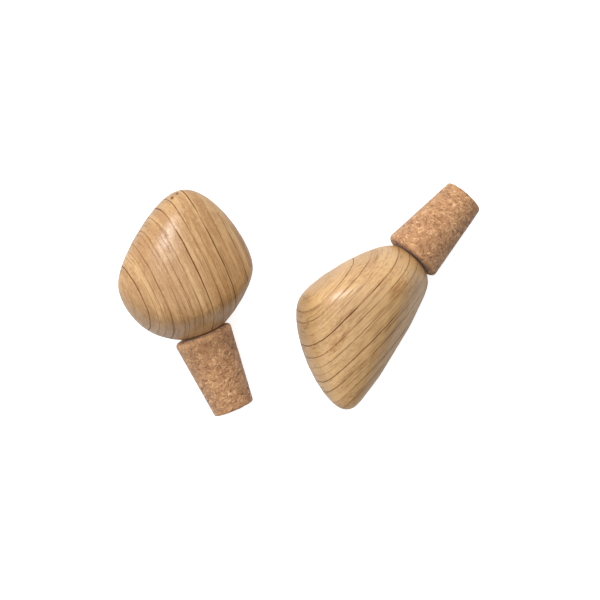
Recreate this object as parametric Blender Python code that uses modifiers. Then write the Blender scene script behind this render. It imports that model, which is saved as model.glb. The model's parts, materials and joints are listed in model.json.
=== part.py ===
"""A pair of bottle stoppers lying on a table: soft oak pebbles on tapered cork plugs.

Each stopper is modelled the way it stands in a bottle. Its own origin is the middle of the joint
between wood and cork, +Z runs up through the oak head and +Y is the side that faces the ceiling
once the stopper is laid down. The head, the cork and the hidden dowel that joins them are
separate solids, and an empty for each stopper lays them on the table.
"""

import math

import bmesh
import bpy
from mathutils import Vector

MM = 0.001

# Space left between pieces that touch.
GAP = 0.3 * MM

# Tapered cork plug, the same on both stoppers.
CORK_LENGTH = 32.5 * MM
CORK_BASE_RADIUS = 11.5 * MM
CORK_TIP_RADIUS = 8.2 * MM
CORK_BASE_ROUNDING = 1.5 * MM
CORK_TIP_ROUNDING = 0.4 * MM
CORK_BASE_ARC_STEPS = 5
CORK_TIP_ARC_STEPS = 2
CORK_STEPS = 48

# Fluted dowel, half of it in the head and half in the cork.
DOWEL_RADIUS = 4.0 * MM
DOWEL_LENGTH = 30.0 * MM
DOWEL_CHAMFER = 0.7 * MM
DOWEL_CHAMFER_ANGLE = math.radians(60)
FLUTE_COUNT = 18
FLUTE_DEPTH = 0.25 * MM

# Blind bore for one end of the dowel, a little deeper than the half that goes into it.
BORE_RADIUS = DOWEL_RADIUS + GAP
BORE_DEPTH = DOWEL_LENGTH / 2 + 1.0 * MM
BORE_STEPS = 32

# Tool that cuts the flat seat and the bore into a head.
SEAT_CUTTER_RADIUS = 20.0 * MM
SEAT_CUTTER_DEPTH = 15.0 * MM

# Rounded corners of the oak heads. Each is a ball: its centre x, y, z and its radius, in mm.
# A head is the skin drawn tight over its balls.
BROAD_CORNERS = {
    "crown": (-13.5, 8.0, 47.5, 6.5),
    "right_face": (-19.0, 5.5, 35.5, 6.0),
    "left_face": (13.5, 13.0, 27.5, 8.5),
    "right_shoulder": (-23.5, 8.0, 18.0, 5.0),
    "left_shoulder": (13.5, 2.0, 12.0, 5.0),
    "right_brow": (-8.5, 20.0, 10.5, 3.5),
    "left_brow": (6.5, 20.5, 12.5, 3.5),
    "high_face": (-3.5, 14.5, 38.0, 6.0),
    "belly": (-5.5, -9.5, 44.0, 5.0),
    "neck": (-1.5, -3.5, 3.0, 5.0),
}
SLIM_CORNERS = {
    "crown": (16.5, 7.5, 58.0, 5.0),
    "face": (-10.8, 18.8, 36.8, 7.0),
    "shoulder": (-16.0, -3.0, 39.5, 5.5),
    "brow": (2.0, 20.0, 14.5, 5.0),
    "right_flank": (-7.0, 7.0, 14.0, 5.0),
    "left_flank": (7.5, -0.5, 6.5, 5.0),
    "belly": (0.0, -12.5, 50.0, 5.0),
    "neck": (-4.0, -3.0, 4.5, 5.0),
}
# Rounding added where the skin turns from one ball to the next.
CORNER_BLEND = 3.0 * MM
HEAD_SEGMENTS = 56
HEAD_RINGS = 28

# Where each stopper's origin lies on the table, and the compass heading of its cork.
BROAD_PLACE = (-38.3 * MM, -12.6 * MM)
BROAD_HEADING = math.radians(-67.3)
SLIM_PLACE = (43.0 * MM, 16.4 * MM)
SLIM_HEADING = math.radians(48.5)

# Search for the tilt at which a stopper comes to rest.
MOST_TILT = math.radians(20)
TILT_ACCURACY = 1e-6

# Edges that turn more sharply than this stay crisp.
SHARP_ANGLE = math.radians(35)

# Points of a turned shape that are closer than this become one.
MERGE_DISTANCE = 0.02 * MM

# Colour, roughness: oiled oak, pressed cork granules, beech.
OAK = ("oiled_oak", (0.60, 0.38, 0.19), 0.45)
CORK = ("pressed_cork", (0.48, 0.27, 0.13), 0.85)
BEECH = ("beech", (0.66, 0.48, 0.32), 0.6)


def clear_scene():
    """Remove every object that is already there."""
    for item in list(bpy.data.objects):
        bpy.data.objects.remove(item, do_unlink=True)


def new_collection(name):
    """Make a collection in the scene."""
    collection = bpy.data.collections.new(name)
    bpy.context.scene.collection.children.link(collection)
    return collection


def make_material(name, colour, roughness):
    """Make a Principled material for an unpainted natural material."""
    material = bpy.data.materials.new(name)
    material.use_nodes = True
    shader = material.node_tree.nodes["Principled BSDF"]
    shader.inputs["Base Color"].default_value = (*colour, 1.0)
    shader.inputs["Roughness"].default_value = roughness
    shader.inputs["Metallic"].default_value = 0.0
    return material


def object_from_bmesh(name, bm, collection):
    """Turn a bmesh into an object in a collection."""
    mesh = bpy.data.meshes.new(name)
    bm.to_mesh(mesh)
    bm.free()
    item = bpy.data.objects.new(name, mesh)
    collection.objects.link(item)
    return item


def add_boolean(target, cutter):
    """Cut a cutter out of a target."""
    cut = target.modifiers.new("cut", "BOOLEAN")
    cut.operation = "DIFFERENCE"
    cut.solver = "EXACT"
    cut.object = cutter


def turned_object(name, profile, steps, collection):
    """Turn a profile of (radius, height) points, outer side running down, about Z."""
    bm = bmesh.new()
    points = [bm.verts.new((radius, 0.0, height)) for radius, height in profile]
    for start, end in zip(points, points[1:]):
        bm.edges.new((start, end))
    item = object_from_bmesh(name, bm, collection)
    screw = item.modifiers.new("turn", "SCREW")
    screw.steps = steps
    screw.render_steps = steps
    screw.use_merge_vertices = True
    screw.merge_threshold = MERGE_DISTANCE
    return item


def rounded_corner(centre, rounding, start, end, count):
    """Points on an arc about a centre (radius, height), from one angle to the other."""
    points = []
    for step in range(count + 1):
        angle = start + (end - start) * step / count
        points.append((centre[0] + rounding * math.cos(angle), centre[1] + rounding * math.sin(angle)))
    return points


def cork_profile():
    """Profile of the cork: up the bore, over the base and down the tapered side to the tip."""
    taper = math.atan2(CORK_BASE_RADIUS - CORK_TIP_RADIUS, CORK_LENGTH)
    up = math.radians(90)
    base_centre = (CORK_BASE_RADIUS - CORK_BASE_ROUNDING, -GAP - CORK_BASE_ROUNDING)
    tip_centre = (CORK_TIP_RADIUS - CORK_TIP_ROUNDING, -CORK_LENGTH + CORK_TIP_ROUNDING)
    bore = [(0.0, -BORE_DEPTH), (BORE_RADIUS, -BORE_DEPTH), (BORE_RADIUS, -GAP)]
    base = rounded_corner(base_centre, CORK_BASE_ROUNDING, up, -taper, CORK_BASE_ARC_STEPS)
    tip = rounded_corner(tip_centre, CORK_TIP_ROUNDING, -taper, -up, CORK_TIP_ARC_STEPS)
    return bore + base + tip + [(0.0, -CORK_LENGTH)]


def seat_profile():
    """Profile of the tool that leaves a flat seat at the origin with the bore above it."""
    return [
        (0.0, BORE_DEPTH),
        (BORE_RADIUS, BORE_DEPTH),
        (BORE_RADIUS, 0.0),
        (SEAT_CUTTER_RADIUS, 0.0),
        (SEAT_CUTTER_RADIUS, -SEAT_CUTTER_DEPTH),
        (0.0, -SEAT_CUTTER_DEPTH),
    ]


def pebble_point(normal, balls):
    """Point of the skin over the balls where it faces along the normal.

    The skin stands as far out along the normal as the ball that reaches furthest, and a little
    further where several reach alike, which rounds the turns between them. The point lies over the
    balls' average centre, in which the ones that reach furthest count most.
    """
    reaches = [normal.dot(centre) + radius for centre, radius in balls]
    furthest = max(reaches)
    weights = [math.exp((reach - furthest) / CORNER_BLEND) for reach in reaches]
    total = sum(weights)
    stand_off = furthest + CORNER_BLEND * math.log(total)
    middle = Vector()
    for weight, (centre, _) in zip(weights, balls):
        middle += (weight / total) * centre
    return middle + (stand_off - normal.dot(middle)) * normal


def make_pebble(name, corners, collection):
    """Stretch a sphere over the corner balls."""
    balls = [(Vector((x, y, z)) * MM, radius * MM) for x, y, z, radius in corners.values()]
    bm = bmesh.new()
    bmesh.ops.create_uvsphere(bm, u_segments=HEAD_SEGMENTS, v_segments=HEAD_RINGS, radius=1.0)
    for vertex in bm.verts:
        vertex.co = pebble_point(vertex.co.normalized(), balls)
    return object_from_bmesh(name, bm, collection)


def make_dowel(name, collection):
    """Fluted dowel: a many-sided peg with every second corner pulled in."""
    bm = bmesh.new()
    bmesh.ops.create_cone(
        bm,
        cap_ends=True,
        segments=2 * FLUTE_COUNT,
        radius1=DOWEL_RADIUS,
        radius2=DOWEL_RADIUS,
        depth=DOWEL_LENGTH,
    )
    for vertex in bm.verts:
        corner = round(math.atan2(vertex.co.y, vertex.co.x) / math.pi * FLUTE_COUNT)
        if corner % 2:
            vertex.co.x *= 1 - FLUTE_DEPTH / DOWEL_RADIUS
            vertex.co.y *= 1 - FLUTE_DEPTH / DOWEL_RADIUS
    dowel = object_from_bmesh(name, bm, collection)
    chamfer = dowel.modifiers.new("chamfer", "BEVEL")
    chamfer.width = DOWEL_CHAMFER
    chamfer.segments = 1
    chamfer.limit_method = "ANGLE"
    chamfer.angle_limit = DOWEL_CHAMFER_ANGLE
    return dowel


def lowest_height(points, tilt):
    """Height of the lowest point over the stopper's origin, once it lies down with this tilt."""
    return min(point.y * math.cos(tilt) + point.z * math.sin(tilt) for point in points)


def resting_tilt(head_points, cork_points):
    """Tilt of the axis at which the head and the tip of the cork touch the table together."""
    low = 0.0
    high = MOST_TILT
    while high - low > TILT_ACCURACY:
        middle = (low + high) / 2
        if lowest_height(head_points, middle) < lowest_height(cork_points, middle):
            low = middle
        else:
            high = middle
    return (low + high) / 2


def lay_down(frame, head, place, heading):
    """Lay a stopper on the table at a place, its cork pointing along the heading."""
    head_points = [vertex.co for vertex in head.data.vertices]
    cork_points = [Vector((0.0, -radius, height)) for radius, height in cork_profile()]
    tilt = resting_tilt(head_points, cork_points)
    frame.rotation_euler = (math.pi / 2 - tilt, 0.0, heading - math.pi / 2)
    frame.location = (*place, -lowest_height(head_points, tilt))


def make_stopper(prefix, corners, place, heading, materials, parts, cutters):
    """Make one stopper from its three pieces and lay it on the table."""
    frame = bpy.data.objects.new(prefix + "_stopper", None)
    frame.empty_display_size = CORK_LENGTH
    parts.objects.link(frame)

    head = make_pebble(prefix + "_oak_head", corners, parts)
    cork = turned_object(prefix + "_cork", cork_profile(), CORK_STEPS, parts)
    dowel = make_dowel(prefix + "_dowel", parts)
    seat_cutter = turned_object(prefix + "_seat_cutter", seat_profile(), BORE_STEPS, cutters)
    seat_cutter.hide_render = True
    seat_cutter.display_type = "WIRE"
    add_boolean(head, seat_cutter)

    for piece, material in zip((head, cork, dowel), materials):
        piece.data.materials.append(material)
        piece.data.shade_smooth()
        piece.data.set_sharp_from_angle(angle=SHARP_ANGLE)
    for piece in (head, cork, dowel, seat_cutter):
        piece.parent = frame
    lay_down(frame, head, place, heading)
    return frame


def centre_on_origin(frames, parts):
    """Slide the stoppers together so that the middle of the ground they cover is the origin."""
    bpy.context.view_layer.update()
    graph = bpy.context.evaluated_depsgraph_get()
    corners = []
    for item in parts.objects:
        if item.type == "MESH":
            solid = item.evaluated_get(graph)
            corners += [solid.matrix_world @ vertex.co for vertex in solid.data.vertices]
    for axis in (0, 1):
        values = [corner[axis] for corner in corners]
        middle = (min(values) + max(values)) / 2
        for frame in frames:
            frame.location[axis] -= middle


def main():
    clear_scene()
    parts = new_collection("bottle_stoppers")
    cutters = new_collection("cutters")
    materials = [make_material(*finish) for finish in (OAK, CORK, BEECH)]
    broad = make_stopper("broad", BROAD_CORNERS, BROAD_PLACE, BROAD_HEADING, materials, parts, cutters)
    slim = make_stopper("slim", SLIM_CORNERS, SLIM_PLACE, SLIM_HEADING, materials, parts, cutters)
    centre_on_origin((broad, slim), parts)


main()
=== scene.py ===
"""Two loose bottle stoppers, polished oak pebbles on cork plugs, lying on a white surface.

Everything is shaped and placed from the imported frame. Each stopper has its own space in which it
stands upright: the origin is where wood and cork meet, +Z runs up through the oak, +Y is the side
that faces the ceiling while the stopper lies down and +X is level. Wood and cork are patterned in
that space, in millimetres.
"""

import json
import math

import bpy
from mathutils import Matrix, Vector


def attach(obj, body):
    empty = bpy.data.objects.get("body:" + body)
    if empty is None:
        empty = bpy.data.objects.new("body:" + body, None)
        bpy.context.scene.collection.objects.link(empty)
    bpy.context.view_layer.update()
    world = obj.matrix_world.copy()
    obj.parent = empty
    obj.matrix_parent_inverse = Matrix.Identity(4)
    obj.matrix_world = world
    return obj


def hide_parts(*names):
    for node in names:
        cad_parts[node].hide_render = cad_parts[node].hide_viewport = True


MM = 0.001

# Fine meshes: size of the grid that each surface is rebuilt on, and rounds of smoothing.
OAK_GRID = 0.45 * MM
OAK_SMOOTHING = 24
CORK_GRID = 0.3 * MM
CORK_SMOOTHING = 8
SMOOTHING_STRENGTH = 0.5

# Relief: how deep dark lines lie in the oak, how far granules swell above or below their middle
# height, and how deep seams and pits lie in the cork.
OAK_LINE_DEPTH = 0.05 * MM
CORK_SWELL = 0.20 * MM
CORK_MIDDLE = 0.7
CORK_SEAM_DEPTH = 0.10 * MM
CORK_PIT_DEPTH = 0.30 * MM

# How each piece of oak was cut, in mm and degrees: distance and direction of the heart of the tree,
# how far the grain leans per mm of height, where in the timber the finer pattern is taken from and
# how much deeper its colour is than usual. Each growth line has its distance from the middle of the
# piece and its darkness. Each pin knot and stain has its x, y, z, and its radius across and along.
# The last value is how strongly painted light brightens the wide end of the stopper's cork beside its
# head, standing in for light that the head shades off.
BROAD_PLANK = {
    "heart_distance": 300.0,
    "heart_angle": 14.0,
    "lean": (0.035, -0.05),
    "cut": (3.0, 11.0, 5.0),
    "depth": 0.08,
    "growth_lines": (
        (-24.0, 0.6), (-19.9, 0.7), (-16.0, 0.4), (-12.0, 1.0), (-8.2, 0.4), (-5.5, 0.8),
        (-1.0, 1.0), (3.2, 0.6), (6.4, 0.5), (8.6, 0.8), (10.1, 0.5), (13.8, 0.8),
        (16.2, 0.5), (18.0, 0.5), (20.4, 0.9), (23.5, 0.6),
    ),
    "pin_knots": ((-10.3, 13.0, 53.3, 1.1, 0.9), (-12.6, 12.5, 54.1, 1.0, 0.7)),
    "stains": (
        (-16.5, 20.0, 15.0, 1.8, 3.5),
        (-12.6, 20.0, 44.0, 1.2, 6.0),
        (-1.6, 20.0, 43.0, 1.2, 4.0),
    ),
    "cork_painted_light": 0.95,
}
SLIM_PLANK = {
    "heart_distance": 300.0,
    "heart_angle": -13.0,
    "lean": (-0.01, 0.13),
    "cut": (40.0, 7.0, 61.0),
    "depth": -0.12,
    "growth_lines": (
        (-22.0, 0.5), (-18.8, 0.8), (-15.7, 0.8), (-11.6, 0.3), (-8.2, 1.0), (-3.8, 0.7),
        (-0.1, 0.6), (2.6, 0.4), (5.1, 0.8), (8.9, 0.7), (11.2, 0.4), (13.5, 0.7), (17.0, 0.6),
    ),
    "pin_knots": (),
    "stains": ((0.0, 20.0, 46.0, 2.0, 9.0), (3.4, 23.0, 17.0, 2.8, 7.0)),
    "cork_painted_light": 0.15,
}

# Height of a head's middle above its joint, from which the lean is counted.
MIDDLE_HEIGHT = 28.0
# Least square of a slant, which keeps a line a quarter of its width where it runs along the surface.
LEAST_SLANT_SQUARE = 0.06

# In all patterns below, a GRAIN is how fast a pattern changes per mm of x, y and z, LEVELS are the
# values between which it sets in, and a WAVE bends the space under a pattern: how fast it changes
# per mm, and how far it reaches in mm. Noise lies around a middle value.
NOISE_MIDDLE = 0.5
SLOW_WAVE = ((0.05, 0.05, 0.030), (1.4, 1.4, 0.0))
QUICK_WAVE = ((0.25, 0.25, 0.10), (0.5, 0.5, 0.0))

# Growth lines: half the width of the dark core and of the whole line. Both are multiplied by the
# width of a faint line plus what its darkness adds.
LINE_CORE = 0.05
LINE_EDGE = 0.30
FAINT_WIDTH = 0.65
DARK_WIDTH = 0.6
# How a line comes and goes along the grain: how fast per mm, how far apart in the noise each line
# is read, and the share of its darkness that is always left.
LINE_GRAIN = 0.055
LINE_STEP = 5.17
LINE_LEVELS = (0.34, 0.54)
LINE_REST = 0.35

# Hair lines, pin knots and pores. Hair lines and years follow the rings: the first grain is that
# of a layer, across the rings, along them and up the piece.
LAYER_GRAIN = (1.0, 0.10, 0.035)
HAIR_GRAIN = (1.5, 1.5, 1.5)
HAIR_LEVELS = (0.55, 0.74)
HAIR_DARKNESS = 0.42
HAIR_SLANTS = (0.2, 0.6)
KNOT_DARKNESS = 0.8
PORE_GRAIN = (2.2, 2.2, 0.18)
PORE_LEVELS = (0.50, 0.72)
PORE_DARKNESS = 0.26

# Tone of the oak: years, streaks that are weaker on end grain, and clouds, with each one's weight.
YEAR_GRAIN = (0.34, 0.34, 0.34)
YEAR_WEIGHT = 0.75
STREAK_GRAIN = (0.9, 0.9, 0.04)
STREAK_WEIGHT = 0.8
END_GRAIN_LEVELS = (0.30, 0.85)
END_GRAIN_STREAKS = 0.3
CLOUD_GRAIN = (0.07, 0.07, 0.035)
CLOUD_WEIGHT = 0.35
TONE_LEVELS = (0.72, 1.16)

# Brown patches, and stains with a ragged outline that follow the grain.
PATCH_GRAIN = (0.50, 0.50, 0.05)
PATCH_LEVELS = (0.56, 0.74)
STAIN_WAVE = ((0.9, 0.9, 0.12), (1.6, 1.6, 9.0))
STAIN_GRAIN = (1.3, 1.3, 0.07)
STAIN_LEVELS = (0.36, 0.60)
STAIN_WEIGHTS = (0.3, 1.5)
# Spots: how many times deeper than wide one is, and the share of its radius that is full.
SPOT_DEPTH = 5.0
SPOT_CORE = 0.35

# Ray flecks, large and small: outward from the heart, along the rings and up the piece.
RAY_WAVE = ((0.35, 0.35, 0.35), (4.0, 1.0, 3.0))
LARGE_RAY_GRAIN = (0.22, 1.1, 0.55)
LARGE_RAY_LEVELS = (0.56, 0.70)
LARGE_RAY_WEIGHT = 0.7
SMALL_RAY_GRAIN = (0.70, 2.4, 1.60)
SMALL_RAY_LEVELS = (0.52, 0.70)
SMALL_RAY_WEIGHT = 0.4

# Oak's finish: how strongly patches and flecks colour it, its roughness with what flecks and dark
# lines add, its gloss and how much of it dark lines lose, how far flecks rise, and the strength and
# distance of its bump.
PATCH_COLOUR = 0.55
RAY_COLOUR = 0.45
OAK_ROUGHNESS = 0.36
RAY_ROUGHNESS = -0.05
LINE_ROUGHNESS = 0.2
OAK_SPECULAR = 0.5
OAK_COAT = 0.20
OAK_COAT_ROUGHNESS = 0.26
LINE_GLOSS_LOSS = 0.9
RAY_RISE = 0.3
OAK_BUMP = (0.35, 0.06 * MM)

# Cork: granules and crumbs per mm, their weight in the tone, and the width of the seams.
CORK_WAVE = ((0.6, 0.6, 0.6), (2.2, 2.2, 2.2))
GRANULES = 0.50
GRANULE_WEIGHT = 0.40
CRUMBS = 1.3
CRUMB_WEIGHT = 0.35
SEAM_EDGE = 0.08
# Layers in a granule, whose direction and shift come from its random colour, and the pits that
# open between them in patches.
LAYER_SPREAD = (3.4, 3.4, 2.4)
LAYER_START = (-1.7, -1.7, 0.5)
LAYER_SHIFT = 40.0
PIT_LEVELS = (0.34, 0.44)
PIT_PATCH_OFFSET = (7.0, 19.0, 2.0)
PIT_PATCHES = 0.8
PIT_PATCH_LEVELS = (0.42, 0.52)

# Cork's finish: middle and weight of the speckle and the layers in the tone, the tones between
# which one colour gives way to the next, and the strength of seams and pits.
SPECKLES = 2.6
SPECKLE_MIDDLE = 0.4
SPECKLE_CONTRAST = 1.2
LAYER_MIDDLE = 0.45
LAYER_CONTRAST = 2.3
TAN_TONES = (0.0, 0.45)
LIGHT_TONES = (0.40, 0.95)
PALE_TONES = (0.90, 1.25)
SEAM_COLOUR = 0.25
PIT_COLOUR = 0.75
# Painted light on the cork's wide end, a paler band beside the head where the head shades it: the heights
# and the tones between which it sets in, and what the least tone keeps.
PAINTED_LIGHT_HEIGHTS = (-4.5, -1.0)
PAINTED_LIGHT_TONES = (0.2, 1.1)
PAINTED_LIGHT_LEAST = 0.35
# Roughness, sheen, how far speckle, layers and granules rise, and the bump.
CORK_ROUGHNESS = (0.78, 0.95)
CORK_ROUGHNESS_LEVELS = (0.3, 0.7)
CORK_SHEEN = 0.25
SPECKLE_RISE = 0.6
LAYER_RISE = 0.8
GRANULE_RISE = 0.5
CORK_BUMP = (0.6, 0.2 * MM)

# Beech: short flecks and long streaks.
BEECH_FLECK_GRAIN = (2.4, 2.4, 0.7)
BEECH_FLECK_LEVELS = (0.60, 0.68)
BEECH_STREAK_GRAIN = (1.2, 1.2, 0.05)
BEECH_STREAK_LEVELS = (0.3, 0.7)
BEECH_STREAK_WEIGHT = 0.35
BEECH_ROUGHNESS = 0.6
BEECH_BUMP = (0.3, 0.1 * MM)

# Linear colours.
WHITE = (1.0, 1.0, 1.0, 1.0)
OAK_LIGHT = (0.56, 0.345, 0.155)
OAK_DEEP = (0.37, 0.195, 0.075)
OAK_BROWN = (0.33, 0.145, 0.040)
OAK_LINE = (0.105, 0.036, 0.008)
OAK_RAY = (0.59, 0.375, 0.17)
CORK_DARK = (0.22, 0.095, 0.038)
CORK_TAN = (0.35, 0.172, 0.074)
CORK_LIGHT = (0.49, 0.262, 0.122)
CORK_PALE = (0.72, 0.46, 0.25)
CORK_HOLE = (0.12, 0.05, 0.02)
# The last colour is the painted light on the cork's wide end.
CORK_PAINTED_LIGHT = (0.80, 0.46, 0.23)
BEECH = (0.66, 0.45, 0.28)
BEECH_FLECK = (0.42, 0.24, 0.12)

# Camera above the table: its place, its sensor's width in mm, and how wide a field it sees at which
# height above the table.
CAMERA_PLACE = (-0.43 * MM, -0.16 * MM, 720 * MM)
SENSOR = 36.0
FIELD_WIDTH = 234 * MM
FIELD_HEIGHT = 12 * MM

# A softbox at the upper left and a broad panel overhead, in a white room that is brighter on the
# softbox's side. Each lamp has its place, its width in metres and its power in watts.
SOFTBOX = ((-0.38, 0.71, 0.95), 0.55, 10.5)
OVERHEAD_PANEL = ((0.0, 0.0, 1.50), 2.0, 8.0)
ROOM_LIGHT = 0.66
ROOM_SLOPE = 0.60
BRIGHT_SIDE = (-0.84, 0.54, 0.0)

# The floor, with a glow that only the camera sees.
FLOOR_SIZE = 6.0
FLOOR_COLOUR = (0.60, 0.60, 0.60)
FLOOR_ROUGHNESS = 0.9
FLOOR_SPECULAR = 0.1
FLOOR_GLOW = 0.75

# Sockets of Blender's Mix node while it mixes colours.
MIX_FACTOR = 0
MIX_FIRST = 6
MIX_SECOND = 7
MIX_RESULT = 2


class Graph:
    """Adds nodes to a shader or geometry tree and links them up."""

    def __init__(self, tree):
        self.tree = tree

    def add(self, kind, inputs, output=0, **settings):
        """Add a node, give it its settings and inputs, and return one of its outputs."""
        node = self.tree.nodes.new(kind)
        for name, value in settings.items():
            setattr(node, name, value)
        for key, value in inputs.items():
            self.feed(value, node.inputs[key])
        return node.outputs[output]

    def feed(self, value, socket):
        """Link an output to a socket, or set the socket to a fixed value."""
        if isinstance(value, bpy.types.NodeSocket):
            self.tree.links.new(value, socket)
        else:
            socket.default_value = value

    def math(self, operation, first, second=0.0):
        """Work out one step of arithmetic on two numbers."""
        return self.add("ShaderNodeMath", {0: first, 1: second}, operation=operation)

    def largest(self, values):
        """The largest of several values of 0 or more, or 0 if there are none."""
        result = 0.0
        for value in values:
            result = self.math("MAXIMUM", result, value)
        return result

    def weigh(self, value, middle, weight):
        """How far a value is above its middle, times a weight."""
        return self.math("MULTIPLY", self.math("SUBTRACT", value, middle), weight)

    def scaled(self, vector, x, y, z):
        """Stretch a vector by a number along each axis."""
        return self.add("ShaderNodeVectorMath", {0: vector, 1: (x, y, z)}, operation="MULTIPLY")

    def moved(self, vector, offset):
        """Add two vectors, either of which may be fixed."""
        return self.add("ShaderNodeVectorMath", {0: vector, 1: offset}, operation="ADD")

    def dot(self, first, second):
        """How far one vector reaches along another."""
        inputs = {0: first, 1: second}
        return self.add("ShaderNodeVectorMath", inputs, output="Value", operation="DOT_PRODUCT")

    def split(self, vector):
        """The three numbers of a vector."""
        node = self.add("ShaderNodeSeparateXYZ", {0: vector}).node
        return node.outputs[0], node.outputs[1], node.outputs[2]

    def join(self, x, y, z):
        """A vector from three numbers."""
        return self.add("ShaderNodeCombineXYZ", {0: x, 1: y, 2: z})

    def noise(self, vector, scale=1.0, detail=2.0, roughness=0.5, output=0):
        """Smooth random values, or random vectors as output 1."""
        inputs = {"Vector": vector, "Scale": scale, "Detail": detail, "Roughness": roughness}
        return self.add("ShaderNodeTexNoise", inputs, output=output)

    def cells(self, vector, scale, feature="F1", output="Distance"):
        """Random cells: a colour for each, or the distance to its edge."""
        inputs = {"Vector": vector, "Scale": scale}
        return self.add("ShaderNodeTexVoronoi", inputs, output=output, feature=feature)

    def bent(self, vector, point, wave, detail=1.0):
        """Shift a vector by a wave that changes slowly with the point."""
        grain, reach = wave
        shift = self.noise(self.scaled(point, *grain), detail=detail, output=1)
        shift = self.scaled(self.moved(shift, (-NOISE_MIDDLE,) * 3), *reach)
        return self.moved(vector, shift)

    def ramp(self, value, levels, start=0.0, end=1.0):
        """Ease from start to end while a value goes from the first level to the second."""
        low, high = levels
        inputs = {"Value": value, "From Min": low, "From Max": high, "To Min": start, "To Max": end}
        return self.add("ShaderNodeMapRange", inputs, interpolation_type="SMOOTHSTEP")

    def blend(self, factor, first, second):
        """Mix two colours."""
        first = (*first, 1.0) if isinstance(first, tuple) else first
        second = (*second, 1.0) if isinstance(second, tuple) else second
        inputs = {MIX_FACTOR: factor, MIX_FIRST: first, MIX_SECOND: second}
        return self.add("ShaderNodeMix", inputs, output=MIX_RESULT, data_type="RGBA")


class Timber:
    """Where the points of a surface lie in the tree that a piece of oak was cut from.

    ring is how far a point is from the heart, less the distance of the piece's middle. out and side
    are its distances from the heart outward and along the rings, and z is its height. cut is the
    place that finer patterns are read at. slant is how squarely a ring meets the surface: 1 where
    it stands on it, and little where it runs along it.
    """

    def __init__(self, graph, point, normal, plank):
        angle = math.radians(plank["heart_angle"])
        outward = (math.cos(angle), math.sin(angle), 0.0)
        sideways = (-math.sin(angle), math.cos(angle), 0.0)
        lean_x, lean_y = plank["lean"]
        self.plank = plank
        self.point = point
        self.normal = normal
        self.cut = graph.moved(point, plank["cut"])
        self.z = graph.split(point)[2]

        height = graph.math("SUBTRACT", self.z, MIDDLE_HEIGHT)
        lean = graph.scaled(graph.join(height, height, 0.0), -lean_x, -lean_y, 0.0)
        bent = graph.bent(graph.moved(point, lean), self.cut, SLOW_WAVE)
        bent = graph.bent(bent, self.cut, QUICK_WAVE)
        self.out = graph.math("ADD", graph.dot(bent, outward), plank["heart_distance"])
        self.side = graph.dot(bent, sideways)
        square = graph.math("ADD", graph.math("POWER", self.out, 2.0), graph.math("POWER", self.side, 2.0))
        self.ring = graph.math("SUBTRACT", graph.math("SQRT", square), plank["heart_distance"])

        facing = graph.math("ABSOLUTE", graph.dot(normal, outward))
        square = graph.math("SUBTRACT", 1.0, graph.math("POWER", facing, 2.0))
        self.slant = graph.math("SQRT", graph.math("MAXIMUM", square, LEAST_SLANT_SQUARE))

    def layers(self, graph, grain):
        """The place to read noise at, so that it follows the rings."""
        layer = graph.scaled(graph.join(self.ring, self.side, self.z), *LAYER_GRAIN)
        return graph.moved(graph.scaled(layer, *grain), self.plank["cut"])


def growth_lines(graph, timber):
    """Thin dark lines at fixed distances from the heart, which fade in and out along the grain."""
    lines = []
    for number, (distance, darkness) in enumerate(timber.plank["growth_lines"]):
        away = graph.math("ABSOLUTE", graph.math("SUBTRACT", timber.ring, distance))
        width = graph.math("MULTIPLY", timber.slant, FAINT_WIDTH + DARK_WIDTH * darkness)
        line = graph.ramp(graph.math("DIVIDE", away, width), (LINE_CORE, LINE_EDGE), 1.0, 0.0)
        along = graph.math("MULTIPLY", timber.z, LINE_GRAIN)
        along = graph.join(along, LINE_STEP * number, timber.plank["cut"][0])
        strength = graph.ramp(graph.noise(along), LINE_LEVELS, LINE_REST * darkness, darkness)
        lines.append(graph.math("MULTIPLY", line, strength))
    return graph.largest(lines)


def spots(graph, point, places):
    """Soft spots at fixed places: 1 in the middle of each, 0 outside them all."""
    masks = []
    for x, y, z, across, along in places:
        away = graph.moved(point, (-x, -y, -z))
        away = graph.scaled(away, 1.0 / across, 1.0 / (SPOT_DEPTH * across), 1.0 / along)
        away = graph.math("SQRT", graph.dot(away, away))
        masks.append(graph.ramp(away, (SPOT_CORE, 1.0), 1.0, 0.0))
    return graph.largest(masks)


def oak_dark(graph, timber):
    """The dark parts of oak, 0 to 1: growth lines, hair lines, pin knots and pores."""
    hairs = graph.ramp(graph.noise(timber.layers(graph, HAIR_GRAIN)), HAIR_LEVELS, 0.0, HAIR_DARKNESS)
    hairs = graph.math("MULTIPLY", hairs, graph.ramp(timber.slant, HAIR_SLANTS))
    knots = spots(graph, timber.point, timber.plank["pin_knots"])
    knots = graph.math("MULTIPLY", knots, KNOT_DARKNESS)
    dark = graph.largest([growth_lines(graph, timber), hairs, knots])
    pores = graph.noise(graph.scaled(timber.cut, *PORE_GRAIN), roughness=0.6)
    dark = graph.math("ADD", dark, graph.ramp(pores, PORE_LEVELS, 0.0, PORE_DARKNESS))
    return graph.math("MINIMUM", dark, 1.0)


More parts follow.
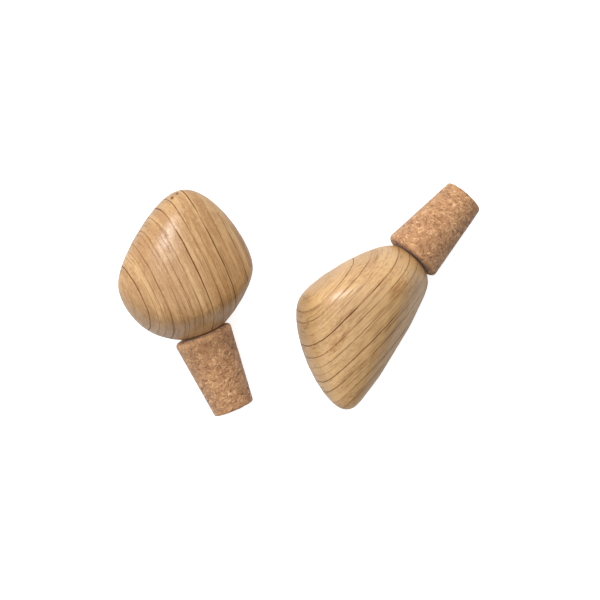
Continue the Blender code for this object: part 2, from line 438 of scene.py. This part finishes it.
def oak_tone(graph, timber):
    """How deep the oak's colour is, 0 to 1, from its years, its streaks and slow clouds."""
    years = graph.noise(timber.layers(graph, YEAR_GRAIN), detail=1.0)
    streaks = graph.noise(graph.scaled(timber.cut, *STREAK_GRAIN), detail=4.0, roughness=0.65)
    upward = graph.math("ABSOLUTE", graph.split(timber.normal)[2])
    lengthwise = graph.ramp(upward, END_GRAIN_LEVELS, 1.0, END_GRAIN_STREAKS)
    streaks = graph.math("ADD", graph.weigh(streaks, NOISE_MIDDLE, lengthwise), NOISE_MIDDLE)
    clouds = graph.noise(graph.scaled(timber.cut, *CLOUD_GRAIN))
    tone = graph.math("MULTIPLY", streaks, STREAK_WEIGHT)
    tone = graph.math("ADD", tone, graph.math("MULTIPLY", clouds, CLOUD_WEIGHT))
    tone = graph.math("ADD", tone, graph.math("MULTIPLY", years, YEAR_WEIGHT))
    return graph.ramp(graph.math("ADD", tone, timber.plank["depth"]), TONE_LEVELS)


def oak_patches(graph, timber):
    """Brown patches along the grain, 0 to 1, and ragged stains, which may be a little stronger."""
    patches = graph.noise(graph.scaled(timber.cut, *PATCH_GRAIN), detail=3.0, roughness=0.6)
    ragged = graph.bent(timber.point, timber.point, STAIN_WAVE, detail=3.0)
    stains = spots(graph, ragged, timber.plank["stains"])
    grained = graph.noise(graph.scaled(timber.cut, *STAIN_GRAIN))
    stains = graph.math("MULTIPLY", stains, graph.ramp(grained, STAIN_LEVELS, *STAIN_WEIGHTS))
    return graph.largest([graph.ramp(patches, PATCH_LEVELS), stains])


def ray_flecks(graph, timber):
    """Thin lenses that run outward from the heart, so they show as flecks where a cut follows them."""
    place = graph.join(timber.out, timber.side, timber.z)
    place = graph.bent(place, place, RAY_WAVE, detail=3.0)
    large = graph.noise(graph.scaled(place, *LARGE_RAY_GRAIN), roughness=0.6)
    small = graph.noise(graph.scaled(place, *SMALL_RAY_GRAIN), detail=1.0)
    large = graph.ramp(large, LARGE_RAY_LEVELS, 0.0, LARGE_RAY_WEIGHT)
    small = graph.ramp(small, SMALL_RAY_LEVELS, 0.0, SMALL_RAY_WEIGHT)
    return graph.largest([large, small])


def cork_pattern(graph, point):
    """Pressed granules: a tone for each, its layers, the seams between them, and pits, 0 to 1."""
    warped = graph.bent(point, point, CORK_WAVE, detail=3.0)
    granule = graph.cells(warped, GRANULES, output="Color")
    crumb = graph.split(graph.cells(warped, CRUMBS, output="Color"))[1]
    tone = graph.math("MULTIPLY", graph.split(granule)[0], GRANULE_WEIGHT)
    tone = graph.math("ADD", tone, graph.math("MULTIPLY", crumb, CRUMB_WEIGHT))
    edge = graph.cells(warped, GRANULES, "DISTANCE_TO_EDGE")
    seam = graph.ramp(edge, (0.0, SEAM_EDGE), 1.0, 0.0)

    tilt = graph.moved(graph.scaled(granule, *LAYER_SPREAD), LAYER_START)
    shift = graph.math("MULTIPLY", graph.split(granule)[2], LAYER_SHIFT)
    layers = graph.noise(graph.join(graph.dot(warped, tilt), shift, 0.0), roughness=0.6)
    where = graph.noise(graph.moved(point, PIT_PATCH_OFFSET), scale=PIT_PATCHES, roughness=0.6)
    pits = graph.ramp(layers, PIT_LEVELS, 1.0, 0.0)
    pits = graph.math("MULTIPLY", pits, graph.ramp(where, PIT_PATCH_LEVELS))
    return tone, layers, seam, pits


def stopper_space(record, mount_name, cork):
    """The stopper's own space at rest, from the middle of its cork's tip and the way that faces."""
    mount = next(mount for mount in record["mounts"] if mount["name"] == mount_name)
    tip = Vector(mount["pos_m"])
    up = -Vector(mount["axis"])
    level = Vector((-up.y, up.x, 0.0)).normalized()
    ceiling = up.cross(level)
    length = max(up.dot(cork.matrix_world @ vertex.co - tip) for vertex in cork.data.vertices)
    turn = Matrix((level, ceiling, up)).transposed().to_4x4()
    return Matrix.Translation(tip + length * up) @ turn


def own_point(graph, position, space):
    """A point of the shared frame, in metres, as millimetres in a stopper's own space."""
    offset = graph.moved(position, -space.translation)
    axes = [space.col[number].xyz / MM for number in range(3)]
    return graph.join(*(graph.dot(offset, axis) for axis in axes))


def own_direction(graph, direction, space):
    """A direction of the shared frame in a stopper's own space."""
    axes = [space.col[number].xyz for number in range(3)]
    return graph.join(*(graph.dot(direction, axis) for axis in axes))


def oak_rise(plank):
    """A function for the height of an oak surface, whose dark parts lie a little deeper."""

    def rise(graph, point, normal):
        timber = Timber(graph, point, normal, plank)
        return graph.math("MULTIPLY", oak_dark(graph, timber), -OAK_LINE_DEPTH)

    return rise


def cork_rise(graph, point, _normal):
    """The height of a cork surface: granules swell, seams and pits sink in."""
    tone, layers, seam, pits = cork_pattern(graph, point)
    height = graph.math("MULTIPLY", tone, GRANULE_RISE)
    height = graph.math("ADD", height, graph.math("MULTIPLY", layers, LAYER_RISE))
    height = graph.weigh(height, CORK_MIDDLE, CORK_SWELL)
    height = graph.math("SUBTRACT", height, graph.math("MULTIPLY", seam, CORK_SEAM_DEPTH))
    return graph.math("SUBTRACT", height, graph.math("MULTIPLY", pits, CORK_PIT_DEPTH))


def relief_group(name, space, rise):
    """A geometry group that moves every point along its normal by what rise() works out."""
    tree = bpy.data.node_groups.new(name, "GeometryNodeTree")
    tree.interface.new_socket("Geometry", in_out="INPUT", socket_type="NodeSocketGeometry")
    tree.interface.new_socket("Geometry", in_out="OUTPUT", socket_type="NodeSocketGeometry")
    graph = Graph(tree)
    surface = tree.nodes.new("NodeGroupInput").outputs[0]
    point = own_point(graph, graph.add("GeometryNodeInputPosition", {}), space)
    normal = graph.add("GeometryNodeInputNormal", {})
    height = rise(graph, point, own_direction(graph, normal, space))
    push = graph.add("ShaderNodeVectorMath", {0: normal, "Scale": height}, operation="SCALE")
    moved = graph.add("GeometryNodeSetPosition", {"Geometry": surface, "Offset": push})
    tree.links.new(moved, tree.nodes.new("NodeGroupOutput").inputs[0])
    return tree


def fine_piece(name, node, grid, smoothing, relief):
    """Rebuild a CAD node's surface on a fine grid, and carve its relief."""
    source = node.data.copy()
    item = bpy.data.objects.new(name, source)
    bpy.context.scene.collection.objects.link(item)
    rebuild = item.modifiers.new("rebuild", "REMESH")
    rebuild.mode = "VOXEL"
    rebuild.voxel_size = grid
    smooth = item.modifiers.new("smooth", "SMOOTH")
    smooth.factor = SMOOTHING_STRENGTH
    smooth.iterations = smoothing
    carve = item.modifiers.new("carve", "NODES")
    carve.node_group = relief
    depsgraph = bpy.context.evaluated_depsgraph_get()
    item.data = bpy.data.meshes.new_from_object(item.evaluated_get(depsgraph))
    item.modifiers.clear()
    bpy.data.meshes.remove(source)
    item.data.name = name
    item.data.shade_smooth()
    return item


def new_material(name, space):
    """A node material, its shader, its graph, and the surface point in the stopper's own space."""
    material = bpy.data.materials.new(name)
    material.use_nodes = True
    graph = Graph(material.node_tree)
    place = graph.add("ShaderNodeTexCoord", {}, output="Object")
    return material, material.node_tree.nodes["Principled BSDF"], graph, own_point(graph, place, space)


def add_bump(graph, shader, height, strength, distance):
    """Raise a shader's surface by a height of 0 to 1."""
    bump = graph.add("ShaderNodeBump", {"Height": height, "Strength": strength, "Distance": distance})
    graph.feed(bump, shader.inputs["Normal"])


def oak_material(name, space, plank):
    """Oiled oak, satin, with growth lines, pores, ray flecks and brown patches."""
    material, shader, graph, point = new_material(name, space)
    normal = own_direction(graph, graph.add("ShaderNodeTexCoord", {}, output="Normal"), space)
    timber = Timber(graph, point, normal, plank)
    dark = oak_dark(graph, timber)
    flecks = ray_flecks(graph, timber)
    colour = graph.blend(oak_tone(graph, timber), OAK_LIGHT, OAK_DEEP)
    patches = graph.math("MULTIPLY", oak_patches(graph, timber), PATCH_COLOUR)
    colour = graph.blend(patches, colour, OAK_BROWN)
    colour = graph.blend(graph.math("MULTIPLY", flecks, RAY_COLOUR), colour, OAK_RAY)
    colour = graph.blend(dark, colour, OAK_LINE)
    graph.feed(colour, shader.inputs["Base Color"])
    roughness = graph.math("ADD", graph.math("MULTIPLY", flecks, RAY_ROUGHNESS), OAK_ROUGHNESS)
    roughness = graph.math("ADD", graph.math("MULTIPLY", dark, LINE_ROUGHNESS), roughness)
    graph.feed(roughness, shader.inputs["Roughness"])
    gloss = graph.math("SUBTRACT", 1.0, graph.math("MULTIPLY", dark, LINE_GLOSS_LOSS))
    graph.feed(graph.math("MULTIPLY", gloss, OAK_SPECULAR), shader.inputs["Specular IOR Level"])
    graph.feed(graph.math("MULTIPLY", gloss, OAK_COAT), shader.inputs["Coat Weight"])
    graph.feed(OAK_COAT_ROUGHNESS, shader.inputs["Coat Roughness"])
    height = graph.math("SUBTRACT", graph.math("MULTIPLY", flecks, RAY_RISE), dark)
    add_bump(graph, shader, height, *OAK_BUMP)
    return material


def cork_material(name, space, painted_light):
    """Pressed cork: granules of several browns, seams, pits, a fine speckle, and painted light on its wide
    end.
    """
    material, shader, graph, point = new_material(name, space)
    tone, layers, seam, pits = cork_pattern(graph, point)
    speckle = graph.noise(point, scale=SPECKLES, detail=3.0, roughness=0.7)
    tone = graph.math("ADD", tone, graph.weigh(speckle, SPECKLE_MIDDLE, SPECKLE_CONTRAST))
    tone = graph.math("ADD", tone, graph.weigh(layers, LAYER_MIDDLE, LAYER_CONTRAST))
    colour = graph.blend(graph.ramp(tone, TAN_TONES), CORK_DARK, CORK_TAN)
    colour = graph.blend(graph.ramp(tone, LIGHT_TONES), colour, CORK_LIGHT)
    colour = graph.blend(graph.ramp(tone, PALE_TONES), colour, CORK_PALE)
    colour = graph.blend(graph.math("MULTIPLY", seam, SEAM_COLOUR), colour, CORK_HOLE)
    colour = graph.blend(graph.math("MULTIPLY", pits, PIT_COLOUR), colour, CORK_HOLE)
    # Painted light: a paler band on the wide end beside the head, with the cork's tones showing through
    # it.
    painted_light_mask = graph.ramp(graph.split(point)[2], PAINTED_LIGHT_HEIGHTS, 0.0, painted_light)
    painted_light_mask = graph.math("MULTIPLY", painted_light_mask, graph.ramp(tone, PAINTED_LIGHT_TONES, PAINTED_LIGHT_LEAST, 1.0))
    colour = graph.blend(painted_light_mask, colour, CORK_PAINTED_LIGHT)
    graph.feed(colour, shader.inputs["Base Color"])
    roughness = graph.ramp(speckle, CORK_ROUGHNESS_LEVELS, *CORK_ROUGHNESS)
    graph.feed(roughness, shader.inputs["Roughness"])
    graph.feed(CORK_SHEEN, shader.inputs["Sheen Weight"])
    height = graph.math("MULTIPLY", speckle, SPECKLE_RISE)
    height = graph.math("ADD", height, graph.math("MULTIPLY", layers, LAYER_RISE))
    add_bump(graph, shader, height, *CORK_BUMP)
    return material


def beech_material(name, space):
    """Raw beech with its short brown flecks."""
    material, shader, graph, point = new_material(name, space)
    flecks = graph.noise(graph.scaled(point, *BEECH_FLECK_GRAIN), detail=1.0)
    streaks = graph.noise(graph.scaled(point, *BEECH_STREAK_GRAIN))
    faint = graph.ramp(streaks, BEECH_STREAK_LEVELS, 0.0, BEECH_STREAK_WEIGHT)
    colour = graph.blend(faint, BEECH, BEECH_FLECK)
    colour = graph.blend(graph.ramp(flecks, BEECH_FLECK_LEVELS), colour, BEECH_FLECK)
    graph.feed(colour, shader.inputs["Base Color"])
    graph.feed(BEECH_ROUGHNESS, shader.inputs["Roughness"])
    add_bump(graph, shader, streaks, *BEECH_BUMP)
    return material


def add_piece(name, node_name, body, material, grid, smoothing, relief):
    """Put a finely carved piece in place of its CAD node."""
    piece = fine_piece(name, frame["nodes"][node_name], grid, smoothing, relief)
    piece.data.materials.clear()
    piece.data.materials.append(material)
    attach(piece, body)
    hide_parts(node_name)


def add_stopper(prefix, plank):
    """Dress one stopper: oak head, cork, and the dowel that is hidden in them."""
    body = prefix + "_stopper"
    space = stopper_space(frame["record"], prefix + "_cork_tip", frame["nodes"][prefix + "_cork"])
    oak = oak_material(prefix + "_oak", space, plank)
    oak_relief = relief_group(prefix + "_oak_relief", space, oak_rise(plank))
    head_name = prefix + "_polished_head"
    add_piece(head_name, prefix + "_oak_head", body, oak, OAK_GRID, OAK_SMOOTHING, oak_relief)
    cork = cork_material(prefix + "_pressed_cork", space, plank["cork_painted_light"])
    cork_relief = relief_group(prefix + "_cork_relief", space, cork_rise)
    cork_name = prefix + "_granular_cork"
    add_piece(cork_name, prefix + "_cork", body, cork, CORK_GRID, CORK_SMOOTHING, cork_relief)
    dowel = frame["nodes"][prefix + "_dowel"]
    dowel.data.materials.clear()
    dowel.data.materials.append(beech_material(prefix + "_beech", space))


def add_floor():
    """A plain white surface under the stoppers."""
    half = FLOOR_SIZE / 2
    corners = [(-half, -half, 0.0), (half, -half, 0.0), (half, half, 0.0), (-half, half, 0.0)]
    mesh = bpy.data.meshes.new("floor")
    mesh.from_pydata(corners, [], [(0, 1, 2, 3)])
    floor = bpy.data.objects.new("floor", mesh)
    bpy.context.scene.collection.objects.link(floor)
    material = bpy.data.materials.new("white_surface")
    material.use_nodes = True
    graph = Graph(material.node_tree)
    shader = material.node_tree.nodes["Principled BSDF"]
    graph.feed((*FLOOR_COLOUR, 1.0), shader.inputs["Base Color"])
    graph.feed(FLOOR_ROUGHNESS, shader.inputs["Roughness"])
    graph.feed(FLOOR_SPECULAR, shader.inputs["Specular IOR Level"])
    graph.feed(WHITE, shader.inputs["Emission Color"])
    seen = graph.add("ShaderNodeLightPath", {}, output="Is Camera Ray")
    graph.feed(graph.math("MULTIPLY", seen, FLOOR_GLOW), shader.inputs["Emission Strength"])
    mesh.materials.append(material)


def add_lamp(name, place, size, power):
    """A round soft lamp that faces the origin."""
    lamp = bpy.data.lights.new(name, "AREA")
    lamp.shape = "DISK"
    lamp.size = size
    lamp.energy = power
    item = bpy.data.objects.new(name, lamp)
    item.location = place
    item.rotation_euler = Vector(place).to_track_quat("Z", "Y").to_euler()
    bpy.context.scene.collection.objects.link(item)


def add_lights():
    """Two soft lamps in a room that is brighter on one side, and that the camera sees as white."""
    add_lamp("softbox", *SOFTBOX)
    add_lamp("overhead_panel", *OVERHEAD_PANEL)
    world = bpy.data.worlds.new("white_room")
    world.use_nodes = True
    graph = Graph(world.node_tree)
    toward = graph.dot(graph.add("ShaderNodeTexCoord", {}, output="Generated"), BRIGHT_SIDE)
    strength = graph.math("ADD", graph.math("MULTIPLY", toward, ROOM_SLOPE), ROOM_LIGHT)
    seen = graph.add("ShaderNodeLightPath", {}, output="Is Camera Ray")
    background = world.node_tree.nodes["Background"]
    graph.feed(WHITE, background.inputs["Color"])
    graph.feed(graph.math("MAXIMUM", strength, seen), background.inputs["Strength"])
    bpy.context.scene.world = world


def add_camera():
    """A camera that looks straight down."""
    lens = bpy.data.cameras.new("overhead")
    lens.sensor_width = SENSOR
    lens.lens = SENSOR * (CAMERA_PLACE[2] - FIELD_HEIGHT) / FIELD_WIDTH
    item = bpy.data.objects.new("overhead", lens)
    item.location = CAMERA_PLACE
    bpy.context.scene.collection.objects.link(item)
    bpy.context.scene.camera = item


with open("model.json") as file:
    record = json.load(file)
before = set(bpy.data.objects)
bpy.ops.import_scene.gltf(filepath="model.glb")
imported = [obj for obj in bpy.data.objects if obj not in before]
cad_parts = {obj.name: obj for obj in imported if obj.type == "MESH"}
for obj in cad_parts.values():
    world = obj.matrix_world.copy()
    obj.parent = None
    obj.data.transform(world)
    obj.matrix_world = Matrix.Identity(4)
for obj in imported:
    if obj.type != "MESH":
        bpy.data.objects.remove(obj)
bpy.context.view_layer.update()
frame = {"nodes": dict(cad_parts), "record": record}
bpy.context.scene.view_settings.view_transform = "Standard"
add_camera()
add_floor()
add_lights()
add_stopper("broad", BROAD_PLANK)
add_stopper("slim", SLIM_PLANK)
